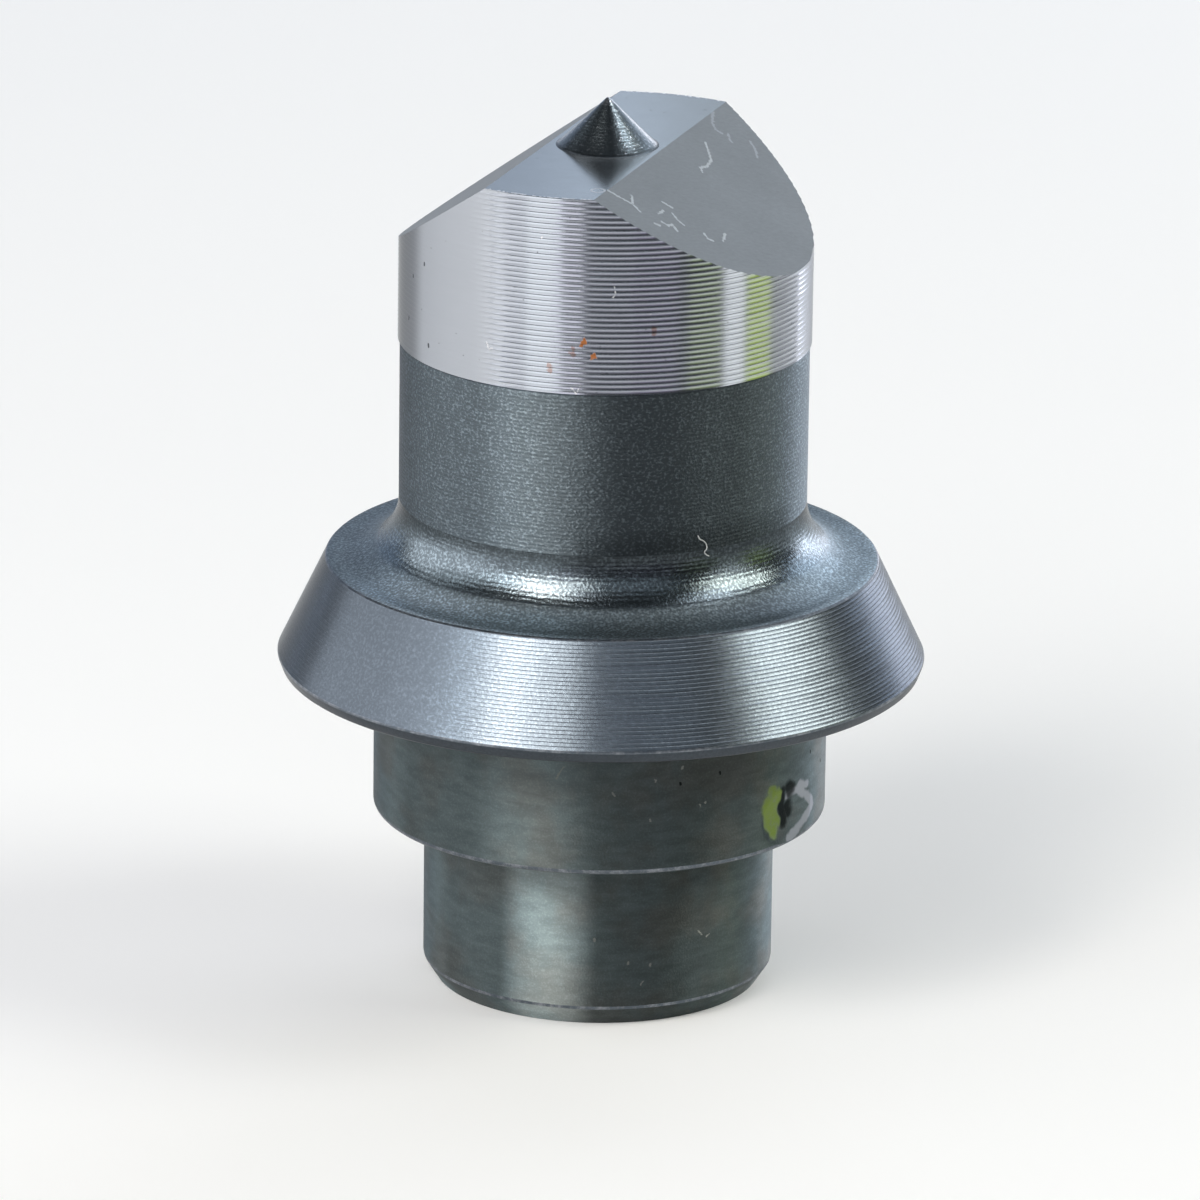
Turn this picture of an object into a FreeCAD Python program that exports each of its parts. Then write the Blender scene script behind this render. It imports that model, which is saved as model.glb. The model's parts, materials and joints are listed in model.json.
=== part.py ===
import FreeCAD, Part
import math
import os

# Piercing punch for a hydraulic punching machine: one bar of tool steel, turned
# and then ground, that stands on its spigot with the cutting head up.
# Millimetres. Z runs up the turning axis from the foot of the spigot. The flat
# strip across the cutting face runs along Y, and its two slopes face -X and +X.

# Spigot, which enters the ram
spigot_diameter = 17.1
spigot_length = 8.65
foot_chamfer_width = 0.6
foot_chamfer_height = 1.0

# Locating collar
collar_diameter = 22.1
collar_length = 7.25
collar_edge_radius = 0.3

# Coned flange, which the coupling nut holds
flange_diameter = 31.5
flange_lip_height = 0.55
flange_lip_width = 0.2
cone_height = 4.9
cone_half_angle = 25.5

# Shank, relieved behind the cutting head
shank_diameter = 19.8
shank_length = 10.95
shank_fillet_radius = 3.0

# Cutting head with its roof-shaped face
head_diameter = 20.0
head_length = 9.65
head_edge_break = 0.08
flat_width = 5.45
roof_angle = 35.0

# Centring pip on the flat strip
pip_diameter = 4.8
pip_point_angle = 90.0
pip_tip_radius = 0.15

# Shallow spot that the side of a milling cutter leaves across the collar's lower edge
spot_cutter_diameter = 11.0
spot_depth = 0.22
spot_height = 1.6
spot_direction = -14.0

# Heights of the turned steps, from the foot up
collar_underside = spigot_length
flange_underside = collar_underside + collar_length
flange_rim_height = flange_underside + flange_lip_height
flange_top = flange_rim_height + cone_height
head_step = flange_top + shank_length
head_top = head_step + head_length

# How far a cut reaches past the steel, and a joined piece into it
overrun = 5.0

origin = FreeCAD.Vector(0, 0, 0)
upwards = FreeCAD.Vector(0, 0, 1)


def point(radius, height):
    return FreeCAD.Vector(radius, 0, height)


def round_between(start, centre, end):
    """The arc from start to end about centre."""
    outwards = start.sub(centre).add(end.sub(centre)).normalize()
    middle = centre.add(outwards.multiply(start.distanceToPoint(centre)))
    return Part.Arc(start, middle, end).toShape()


def turned(edges):
    """The solid that an outline of edges sweeps round the turning axis."""
    return Part.Face(Part.Wire(edges)).revolve(origin, upwards, 360)


def turned_body():
    """All that the lathe makes, from the foot to the level of the flat strip."""
    spigot_radius = spigot_diameter / 2
    collar_radius = collar_diameter / 2
    rim_radius = flange_diameter / 2
    cone_top_radius = rim_radius - cone_height * math.tan(math.radians(cone_half_angle))
    shank_radius = shank_diameter / 2
    head_radius = head_diameter / 2

    spigot = [
        point(0, 0),
        point(spigot_radius - foot_chamfer_width, 0),
        point(spigot_radius, foot_chamfer_height),
        point(spigot_radius, collar_underside),
        point(collar_radius - collar_edge_radius, collar_underside),
    ]
    collar_and_flange = [
        point(collar_radius, collar_underside + collar_edge_radius),
        point(collar_radius, flange_underside),
        point(rim_radius - flange_lip_width, flange_underside),
        point(rim_radius, flange_rim_height),
        point(cone_top_radius, flange_top),
        point(shank_radius + shank_fillet_radius, flange_top),
    ]
    shank_and_head = [
        point(shank_radius, flange_top + shank_fillet_radius),
        point(shank_radius, head_step),
        point(head_radius - head_edge_break, head_step),
        point(head_radius, head_step + head_edge_break),
        point(head_radius, head_top),
        point(0, head_top),
        point(0, 0),
    ]
    collar_round_centre = point(collar_radius - collar_edge_radius, collar_underside + collar_edge_radius)
    fillet_centre = point(shank_radius + shank_fillet_radius, flange_top + shank_fillet_radius)
    return turned([
        *Part.makePolygon(spigot).Edges,
        round_between(spigot[-1], collar_round_centre, collar_and_flange[0]),
        *Part.makePolygon(collar_and_flange).Edges,
        round_between(collar_and_flange[-1], fillet_centre, shank_and_head[0]),
        *Part.makePolygon(shank_and_head).Edges,
    ])


def roof_waste(side):
    """The wedge ground off one side of the head, where side is -1 or +1."""
    strip_edge = flat_width / 2
    outer_edge = head_diameter / 2 + overrun
    drop = (outer_edge - strip_edge) * math.tan(math.radians(roof_angle))
    length = head_diameter + 2 * overrun
    section = Part.makePolygon([
        FreeCAD.Vector(side * strip_edge, -length / 2, head_top),
        FreeCAD.Vector(side * outer_edge, -length / 2, head_top - drop),
        FreeCAD.Vector(side * outer_edge, -length / 2, head_top + overrun),
        FreeCAD.Vector(side * strip_edge, -length / 2, head_top + overrun),
        FreeCAD.Vector(side * strip_edge, -length / 2, head_top),
    ])
    return Part.Face(section).extrude(FreeCAD.Vector(0, length, 0))


def pip():
    """The centring cone with its slightly rounded point, rooted in the head."""
    base_radius = pip_diameter / 2
    half_point = math.radians(pip_point_angle / 2)
    sharp_point = head_top + base_radius / math.tan(half_point)
    tip_centre = point(0, sharp_point - pip_tip_radius / math.sin(half_point))
    flank_end = tip_centre.add(
        point(pip_tip_radius * math.cos(half_point), pip_tip_radius * math.sin(half_point))
    )
    tip = tip_centre.add(point(0, pip_tip_radius))
    sides = Part.makePolygon([
        tip,
        point(0, head_top - overrun),
        point(base_radius, head_top - overrun),
        point(base_radius, head_top),
        flank_end,
    ])
    return turned([*sides.Edges, round_between(flank_end, tip_centre, tip)])


def spot_waste():
    """What the milling cutter takes off the collar, up to the flange's underside."""
    cutter_radius = spot_cutter_diameter / 2
    reach = collar_diameter / 2 - spot_depth + cutter_radius
    length = collar_diameter
    height = collar_underside + spot_height
    cutter = Part.makeCylinder(
        cutter_radius,
        length,
        FreeCAD.Vector(reach, -length / 2, height),
        FreeCAD.Vector(0, 1, 0),
    )
    cutter.rotate(origin, upwards, spot_direction)
    below_flange = Part.makeCylinder(reach + length, flange_underside)
    return cutter.common(below_flange)


def punch():
    body = turned_body()
    body = body.cut([roof_waste(-1), roof_waste(1), spot_waste()])
    return body.fuse(pip()).removeSplitter()


os.makedirs("parts", exist_ok=True)
punch().exportStep("parts/punch.step")
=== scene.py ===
"""Looks of a steel piercing punch, laid out as an add-on and run as a script."""

import json
import math

import bmesh
import bpy
from bpy.props import FloatProperty, FloatVectorProperty, IntProperty, PointerProperty
from mathutils import Matrix, Vector, noise


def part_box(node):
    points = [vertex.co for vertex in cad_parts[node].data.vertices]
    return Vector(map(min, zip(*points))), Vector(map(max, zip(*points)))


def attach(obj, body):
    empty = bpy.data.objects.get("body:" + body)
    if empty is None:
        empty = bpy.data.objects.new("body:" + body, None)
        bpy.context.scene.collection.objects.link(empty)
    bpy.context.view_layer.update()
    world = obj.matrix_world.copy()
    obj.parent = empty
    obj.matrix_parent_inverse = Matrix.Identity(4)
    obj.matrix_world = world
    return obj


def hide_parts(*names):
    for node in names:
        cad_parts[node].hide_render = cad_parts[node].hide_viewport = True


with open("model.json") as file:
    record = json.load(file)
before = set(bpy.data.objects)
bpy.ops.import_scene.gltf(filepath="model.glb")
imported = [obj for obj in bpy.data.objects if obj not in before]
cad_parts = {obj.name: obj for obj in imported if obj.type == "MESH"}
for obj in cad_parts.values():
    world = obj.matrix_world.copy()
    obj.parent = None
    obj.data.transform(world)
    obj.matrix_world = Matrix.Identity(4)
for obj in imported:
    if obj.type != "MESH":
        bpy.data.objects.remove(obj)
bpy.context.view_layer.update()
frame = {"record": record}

bl_info = {
    "name": "Piercing Punch",
    "version": (1, 0, 0),
    "blender": (4, 5, 0),
    "location": "View3D > Sidebar > Punch",
    "description": "Builds the turned surface and finishes of a piercing punch",
    "category": "Object",
}

MM = 0.001
CAD_NODE = "punch"
MOUNTS = {mount["name"]: mount for mount in frame["record"]["mounts"]}

# Radii of the turned steps
SPIGOT_RADIUS = MOUNTS["spigot"]["dims"]["r_mm"] * MM
COLLAR_RADIUS = MOUNTS["collar"]["dims"]["r_mm"] * MM
RIM_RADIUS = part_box(CAD_NODE)[1].x
LIP_WIDTH = 0.2 * MM
LIP_RADIUS = RIM_RADIUS - LIP_WIDTH
SHANK_RADIUS = 9.9 * MM
HEAD_RADIUS = 10.0 * MM
FOOT_CHAMFER_WIDTH = 0.6 * MM
FOOT_RADIUS = SPIGOT_RADIUS - FOOT_CHAMFER_WIDTH

# Lengths of the turned steps, and the heights where they start, from the foot up
FOOT_CHAMFER = 1.0 * MM
LIP_LENGTH = 0.55 * MM
CONE_LENGTH = 4.9 * MM
SHANK_LENGTH = 10.95 * MM
HEAD_LENGTH = 9.65 * MM
COLLAR_UNDERSIDE = 8.65 * MM
FLANGE_UNDERSIDE = MOUNTS["flange_seat"]["pos_m"][2]
RIM_HEIGHT = FLANGE_UNDERSIDE + LIP_LENGTH
FLANGE_TOP = RIM_HEIGHT + CONE_LENGTH
HEAD_STEP = FLANGE_TOP + SHANK_LENGTH
HEAD_TOP = HEAD_STEP + HEAD_LENGTH
CONE_ANGLE = math.radians(25.5)
CONE_SLOPE = math.tan(CONE_ANGLE)
CONE_TOP_RADIUS = RIM_RADIUS - (FLANGE_TOP - RIM_HEIGHT) * CONE_SLOPE

# Rounds and the roof
COLLAR_ROUND = 0.3 * MM
SHANK_FILLET = 3.0 * MM
EDGE_BREAK = 0.08 * MM
INNER_CORNER = 0.12 * MM
STRIP_HALF = 2.725 * MM
ROOF_ANGLE = math.radians(35)

# Rings up the collar's wall and the shank, and steps of the round below the shank
COLLAR_RINGS = 12
SHANK_RINGS = 8
FILLET_STEPS = 24

# Where the tool marks are worn round the axis: middle, reach and fade in degrees, and depth left
SMOOTH_SIDES = {
    "head_marks": (-132, 22.5, 15, 0.12),
    "cone_marks": (-131, 33, 58, 0.06),
}

# A turning mark: its long side's share of its height, the steps of that side and its lean at the top
LONG_SIDE = 0.8
MARK_STEPS = 3
HEAD_TOP_LEAN = 0.09
CONE_TOP_LEAN = -0.02

# How unevenly deep the marks are
HEAD_WANDER = 0.12
CONE_WANDER = 0.5

# The centring pip, with the heights of the rings on its flank as shares of the flank
PIP_RADIUS = 2.4 * MM
PIP_TIP_RADIUS = 0.15 * MM
PIP_HALF_ANGLE = math.radians(45)
PIP_ROOT = 0.08 * MM
PIP_FLANK_RINGS = (0.2, 0.4, 0.6, 0.8, 0.93)

# The milled spot across the collar's lower edge, and how far past it the wall is refined
SPOT_CUTTER_RADIUS = 5.5 * MM
SPOT_DEPTH = 0.22 * MM
SPOT_RISE = 1.6 * MM
SPOT_HEIGHT = COLLAR_UNDERSIDE + SPOT_RISE
SPOT_DIRECTION = math.radians(-14)
SPOT_MARGIN = 1.25

# Distance within which two surfaces count as one
TOUCH = 1e-7

# The photo's camera
CAMERA_AZIMUTH = 19.34
CAMERA_ELEVATION = 17.86
CAMERA_DISTANCE = 486.4 * MM
CAMERA_ROLL = 0.74
CAMERA_AIM = Vector((-0.07 * MM, -0.03 * MM, 19.0 * MM))
CAMERA_LENS = 300.0
CAMERA_CLIP = (0.01, 20.0)


def pitch_property(name, description, default):
    return FloatProperty(
        name=name, description=description, default=default, min=0.1 * MM, unit="LENGTH", precision=5
    )


def lean_property(name, place, default):
    description = f"How far the marks on the {place} lean inwards at their foot, as a slope"
    return FloatProperty(name=name, description=description, default=default, min=0.0, max=1.0)


class PunchShape(bpy.types.PropertyGroup):
    """Sizes of the turning marks, which a user may change."""

    around: IntProperty(
        name="Steps Around", description="Faces round the turning axis", default=240, min=48, max=360
    )
    head_pitch: pitch_property("Head Mark Pitch", "Height of one turning mark on the cutting head", 0.25 * MM)
    head_lean: lean_property("Head Mark Lean", "cutting head", 0.36)
    cone_pitch: pitch_property("Cone Mark Pitch", "Length of one turning mark along the cone", 0.194 * MM)
    cone_lean: lean_property("Cone Mark Lean", "cone", 0.26)


def colour_property(name, description, default):
    return FloatVectorProperty(
        name=name, description=description, default=default, size=3, min=0.0, max=1.0, subtype="COLOR"
    )


class PunchFinish(bpy.types.PropertyGroup):
    """Colours of the steel, which a user may change."""

    bright: colour_property("Bright Steel", "Freshly turned steel of the cutting head", (0.48, 0.505, 0.55))
    ground: colour_property("Ground Steel", "Ground slopes of the cutting face", (0.25, 0.267, 0.268))
    oxide: colour_property("Dark Oxide", "Oxide skin of the shank", (0.078, 0.094, 0.105))
    satin: colour_property("Satin Oxide", "Oxide skin of the collar and the spigot", (0.078, 0.097, 0.10))
    worn: colour_property("Worn Oxide", "Thin oxide on the flange's cone", (0.17, 0.2, 0.235))
    rust: colour_property("Rust", "Specks of rust on the cutting head", (0.32, 0.11, 0.03))
    # paint is the colour of the painted green reflection on the collar, laid as a non-metal dab
    paint: colour_property("Old Paint", "Remains of marking paint on the collar", (0.14, 0.21, 0.02))


class PunchStage(bpy.types.PropertyGroup):
    """The floor and the light."""

    floor: colour_property("Floor", "Colour of the plain floor", (0.85, 0.85, 0.85))
    level: FloatProperty(
        name="Light Level", description="Multiplies the power of every lamp", default=1.0, min=0.0, max=4.0
    )


class Outline:
    """The turned outline, from the foot up: rings, the finish above each ring and the creased rings."""

    def __init__(self):
        self.rings = []
        self.cuts = []
        self.zones = []
        self.creases = set()

    def to(self, radius, height, zone=None, crease=False, cut=(0.0, 0.0)):
        """Adds a ring. zone is the finish above it, if that changes, cut how far a mark goes in."""
        if crease:
            self.creases.add(len(self.rings))
        self.rings.append((radius, height))
        self.cuts.append(cut)
        self.zones.append(ZONES.index(zone) if zone else self.zones[-1])

    def round(self, centre, radius, start, end, steps, zone=None):
        """Adds rings along an arc, angles in degrees from the outward direction."""
        for step in range(steps + 1):
            angle = math.radians(start + (end - start) * step / steps)
            self.to(centre[0] + radius * math.cos(angle), centre[1] + radius * math.sin(angle), zone)

    def wall(self, radius, bottom, top, steps):
        """Adds rings up a straight wall, without the one at its bottom."""
        for step in range(1, steps + 1):
            self.to(radius, bottom + (top - bottom) * step / steps)

    def marks(self, start, end, pitch, slopes, zone, wander):
        """Adds a turned stretch from start to end, cut with shallow marks.

        slopes are how far a mark's long side leans inwards at its lower and upper end.
        """
        along = Vector(end) - Vector(start)
        count = max(1, round(along.length / pitch))
        step = along.length / count
        inward = Vector((-along.y, along.x)).normalized()
        for mark in range(count):
            uneven = 1 + wander * noise.noise(Vector((mark * 1.7, pitch / MM * 9, 0.5)))
            for stop in range(MARK_STEPS + 1):
                share = LONG_SIDE * stop / MARK_STEPS
                mean_lean = slopes[0] + (slopes[1] - slopes[0]) * stop / (2 * MARK_STEPS)
                at = Vector(start) + along * ((mark + share) / count)
                cut = inward * (step * share * mean_lean * uneven)
                self.to(at.x, at.y, zone, stop in (0, MARK_STEPS), cut)


def turned_outline(shape):
    """Every ring of the lathe work, from the foot's edge to the level of the flat strip."""
    outline = Outline()
    outline.to(FOOT_RADIUS - EDGE_BREAK, 0, "spigot_skin")
    outline.to(FOOT_RADIUS, 0.5 * EDGE_BREAK)
    outline.to(SPIGOT_RADIUS - 0.3 * EDGE_BREAK, FOOT_CHAMFER - EDGE_BREAK, "rubbed_edge")
    outline.to(SPIGOT_RADIUS, FOOT_CHAMFER + EDGE_BREAK, "spigot_skin")
    outline.to(SPIGOT_RADIUS, (FOOT_CHAMFER + COLLAR_UNDERSIDE) / 2)
    outline.to(SPIGOT_RADIUS, COLLAR_UNDERSIDE - 2 * INNER_CORNER)
    corner = (SPIGOT_RADIUS + INNER_CORNER, COLLAR_UNDERSIDE - INNER_CORNER)
    outline.round(corner, INNER_CORNER, 180, 90, 4, "collar_skin")
    outline.to(COLLAR_RADIUS - COLLAR_ROUND - EDGE_BREAK, COLLAR_UNDERSIDE)
    corner = (COLLAR_RADIUS - COLLAR_ROUND, COLLAR_UNDERSIDE + COLLAR_ROUND)
    outline.round(corner, COLLAR_ROUND, -90, -60, 2)
    outline.round(corner, COLLAR_ROUND, -45, -15, 2, "rubbed_edge")
    outline.to(COLLAR_RADIUS, corner[1], "collar_skin")
    outline.wall(COLLAR_RADIUS, corner[1], FLANGE_UNDERSIDE - INNER_CORNER, COLLAR_RINGS)
    corner = (COLLAR_RADIUS + INNER_CORNER, FLANGE_UNDERSIDE - INNER_CORNER)
    outline.round(corner, INNER_CORNER, 180, 90, 4, "flange_edge")
    outline.to(LIP_RADIUS - 2 * EDGE_BREAK, FLANGE_UNDERSIDE)
    outline.to(LIP_RADIUS - EDGE_BREAK, FLANGE_UNDERSIDE)
    outline.to(LIP_RADIUS + 0.3 * EDGE_BREAK, FLANGE_UNDERSIDE + EDGE_BREAK)
    outline.to(RIM_RADIUS - 0.2 * EDGE_BREAK, RIM_HEIGHT - 0.6 * EDGE_BREAK, "rubbed_edge")
    outline.to(RIM_RADIUS, RIM_HEIGHT)
    rim_break = EDGE_BREAK * CONE_SLOPE
    foot = (RIM_RADIUS - rim_break, RIM_HEIGHT + EDGE_BREAK)
    top = (CONE_TOP_RADIUS + rim_break, FLANGE_TOP - EDGE_BREAK)
    outline.marks(foot, top, shape.cone_pitch, (shape.cone_lean, CONE_TOP_LEAN), "cone_marks", CONE_WANDER)
    outline.to(*top, "rubbed_edge", True)
    outline.to(CONE_TOP_RADIUS - 0.5 * EDGE_BREAK, FLANGE_TOP, "fillet_skin")
    hollow = (SHANK_RADIUS + SHANK_FILLET, FLANGE_TOP + SHANK_FILLET)
    last_step = 180 + 90 / FILLET_STEPS
    outline.round(hollow, SHANK_FILLET, 270, last_step, FILLET_STEPS - 1)
    outline.to(SHANK_RADIUS, hollow[1], "shank_skin")
    outline.wall(SHANK_RADIUS, hollow[1], HEAD_STEP, SHANK_RINGS)
    outline.creases.add(len(outline.rings) - 1)
    outline.to(HEAD_RADIUS - EDGE_BREAK, HEAD_STEP, "head_marks", True)
    foot = (HEAD_RADIUS, HEAD_STEP + EDGE_BREAK)
    top = (HEAD_RADIUS, HEAD_TOP)
    outline.marks(foot, top, shape.head_pitch, (shape.head_lean, HEAD_TOP_LEAN), "head_marks", HEAD_WANDER)
    outline.to(HEAD_RADIUS, HEAD_TOP, "polished_strip", True)
    return outline


def mark_wear(turn, zone):
    """How deep the tool marks still are at this turn round the axis, from 0 to 1."""
    if ZONES[zone] not in SMOOTH_SIDES:
        return 1.0
    side, reach, fade, least = SMOOTH_SIDES[ZONES[zone]]
    away = abs((math.degrees(turn) - side + 180) % 360 - 180)
    return least + (1 - least) * min(1.0, max(0.0, (away - reach) / fade))


def add_band(bm, low, high, zone):
    """Adds the smooth faces between two rings."""
    for i in range(len(low)):
        j = (i + 1) % len(low)
        face = bm.faces.new((low[i], low[j], high[j], high[i]))
        face.smooth = True
        face.material_index = zone


def sharpen(bm, ring):
    """Makes the edges of a ring sharp."""
    edges = [bm.edges.get(pair) for pair in zip(ring, ring[1:] + ring[:1])]
    for edge in edges:
        edge.smooth = False
    return edges


def revolve(bm, outline, around):
    """Sweeps the outline round the axis and closes it at the foot and at the top."""
    turns = [math.tau * i / around for i in range(around)]
    rings = []
    for (radius, height), cut, zone in zip(outline.rings, outline.cuts, outline.zones):
        ring = []
        for turn in turns:
            depth = mark_wear(turn, zone)
            r = radius + cut[0] * depth
            z = height + cut[1] * depth
            ring.append(bm.verts.new((r * math.cos(turn), r * math.sin(turn), z)))
        rings.append(ring)
    for low, high, zone in zip(rings[:-1], rings[1:], outline.zones):
        add_band(bm, low, high, zone)
    foot = bm.faces.new(rings[0][::-1])
    foot.material_index = ZONES.index("foot")
    top = bm.faces.new(rings[-1])
    top.material_index = ZONES.index("polished_strip")
    for index in (0, *outline.creases, -1):
        sharpen(bm, rings[index])


def grind_slope(bm, side):
    """Grinds one slope of the roof; side is -1 or +1."""
    plane = Vector((side * math.sin(ROOF_ANGLE), 0, math.cos(ROOF_ANGLE)))
    cut = bmesh.ops.bisect_plane(
        bm,
        geom=bm.verts[:] + bm.edges[:] + bm.faces[:],
        dist=TOUCH / 10,
        plane_co=(side * STRIP_HALF, 0, HEAD_TOP),
        plane_no=plane,
        clear_outer=True,
    )
    edges = [item for item in cut["geom_cut"] if isinstance(item, bmesh.types.BMEdge)]
    made = bmesh.ops.contextual_create(bm, geom=edges)
    for face in made["faces"]:
        face.material_index = ZONES.index("ground_slopes")
        face.smooth = False
        if face.normal.dot(plane) < 0:
            face.normal_flip()
    for edge in edges:
        edge.smooth = False


def raise_pip(bm, around):
    """Opens the flat strip round the pip and turns the pip up from that opening."""
    faces = [face for face in bm.faces if face.material_index == ZONES.index("polished_strip")]
    strip = max(faces, key=lambda face: face.calc_area())
    border = list(strip.edges)
    bmesh.ops.delete(bm, geom=[strip], context="FACES_ONLY")
    outline = Outline()
    outline.to(PIP_RADIUS + PIP_ROOT, HEAD_TOP, "pip_skin")
    outline.to(PIP_RADIUS + 0.3 * PIP_ROOT, HEAD_TOP + 0.25 * PIP_ROOT)
    outline.to(PIP_RADIUS - 0.6 * PIP_ROOT, HEAD_TOP + 0.9 * PIP_ROOT)
    slope = math.tan(PIP_HALF_ANGLE)
    sharp = HEAD_TOP + PIP_RADIUS / slope
    ball = sharp - PIP_TIP_RADIUS / math.sin(PIP_HALF_ANGLE)
    flank_end = ball + PIP_TIP_RADIUS * math.sin(PIP_HALF_ANGLE)
    for share in PIP_FLANK_RINGS:
        height = HEAD_TOP + (flank_end - HEAD_TOP) * share
        outline.to((sharp - height) * slope, height)
    outline.round((0, ball), PIP_TIP_RADIUS, math.degrees(PIP_HALF_ANGLE), 80, 4)
    turns = [(math.cos(math.tau * i / around), math.sin(math.tau * i / around)) for i in range(around)]
    rings = [[bm.verts.new((r * c, r * s, z)) for c, s in turns] for r, z in outline.rings]
    for low, high in zip(rings[:-1], rings[1:]):
        add_band(bm, low, high, outline.zones[0])
    tip = bm.verts.new((0, 0, ball + PIP_TIP_RADIUS))
    for i in range(around):
        face = bm.faces.new((rings[-1][i], rings[-1][(i + 1) % around], tip))
        face.smooth = True
        face.material_index = outline.zones[0]
    opening = sharpen(bm, rings[0])
    made = bmesh.ops.triangle_fill(bm, use_beauty=True, use_dissolve=False, edges=border + opening)
    for item in made["geom"]:
        if isinstance(item, bmesh.types.BMFace):
            item.material_index = ZONES.index("polished_strip")
            item.smooth = False
            if item.normal.z < 0:
                item.normal_flip()


def mill_spot(bm):
    """Refines the collar's wall round the spot and presses it to the milling cutter's side."""
    facing = Vector((math.cos(SPOT_DIRECTION), math.sin(SPOT_DIRECTION), 0))
    half_width = math.sqrt(2 * COLLAR_RADIUS * SPOT_DEPTH) * SPOT_MARGIN
    half_height = math.sqrt(2 * SPOT_CUTTER_RADIUS * SPOT_DEPTH) * SPOT_MARGIN

    def near(vert):
        across = vert.co.cross(facing).z
        return (
            vert.co.dot(facing) > COLLAR_RADIUS - 4 * SPOT_DEPTH
            and abs(across) < half_width
            and abs(vert.co.z - SPOT_HEIGHT) < half_height
            and vert.co.z < FLANGE_UNDERSIDE - INNER_CORNER
            and vert.co.xy.length <= COLLAR_RADIUS + TOUCH
        )

    for _ in range(2):
        edges = [e for e in bm.edges if near(e.verts[0]) and near(e.verts[1])]
        bmesh.ops.subdivide_edges(bm, edges=edges, cuts=1, use_grid_fill=True)
    reach = COLLAR_RADIUS - SPOT_DEPTH + SPOT_CUTTER_RADIUS
    milled = set()
    for vert in bm.verts:
        if not near(vert):
            continue
        if vert.co.z > COLLAR_UNDERSIDE + COLLAR_ROUND:
            scale = COLLAR_RADIUS / vert.co.xy.length
            vert.co.x *= scale
            vert.co.y *= scale
        rise = vert.co.z - SPOT_HEIGHT
        limit = reach - math.sqrt(max(0.0, SPOT_CUTTER_RADIUS**2 - rise**2))
        over = vert.co.dot(facing) - limit
        if over > -TOUCH:
            vert.co -= facing * max(0.0, over)
            milled.add(vert)
    for face in bm.faces:
        if face.material_index != ZONES.index("spigot_skin") and all(v in milled for v in face.verts):
            face.material_index = ZONES.index("bare_spot")


class Nodes:
    """Short calls for the nodes of one tree."""

    def __init__(self, tree):
        self.tree = tree

    def link(self, socket, value):
        if isinstance(value, bpy.types.NodeSocket):
            self.tree.links.new(value, socket)
        else:
            socket.default_value = value

    def node(self, kind, settings=None, **inputs):
        made = self.tree.nodes.new(kind)
        for name, value in (settings or {}).items():
            setattr(made, name, value)
        for name, value in inputs.items():
            self.link(made.inputs[name], value)
        return made

    def pair(self, kind, operation, first, second):
        made = self.node(kind, {"operation": operation})
        self.link(made.inputs[0], first)
        self.link(made.inputs[1], second)
        return made.outputs

    def vector(self, operation, first, second=(0, 0, 0)):
        return self.pair("ShaderNodeVectorMath", operation, first, second)["Vector"]

    def measure(self, operation, first, second=(0, 0, 0)):
        """A number taken from vectors."""
        return self.pair("ShaderNodeVectorMath", operation, first, second)["Value"]

    def math(self, operation, first, *others):
        for other in others:
            first = self.pair("ShaderNodeMath", operation, first, other)[0]
        return first

    def add(self, *values):
        return self.math("ADD", *values)

    def times(self, *values):
        return self.math("MULTIPLY", *values)

    def ease(self, value, start, end, low=0.0, high=1.0):
        """A smooth step from low at start to high at end."""
        limits = {"From Min": start, "From Max": end, "To Min": low, "To Max": high}
        smooth = {"interpolation_type": "SMOOTHSTEP"}
        return self.node("ShaderNodeMapRange", smooth, Value=value, **limits).outputs["Result"]

    def blend(self, share, first, second):
        made = self.node("ShaderNodeMix", {"data_type": "RGBA"})
        for socket, value in ((0, share), (6, first), (7, second)):
            self.link(made.inputs[socket], value)
        return made.outputs[2]

    def shades(self, share, colour, low, high):
        """The colour at level low where share is 0, and at level high where it is 1."""
        return self.blend(share, rgba(colour, low), rgba(colour, high))

    def weigh(self, *parts):
        """The sum of values, each times its weight."""
        return self.add(*(self.times(value, weight) for value, weight in parts))


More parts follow.
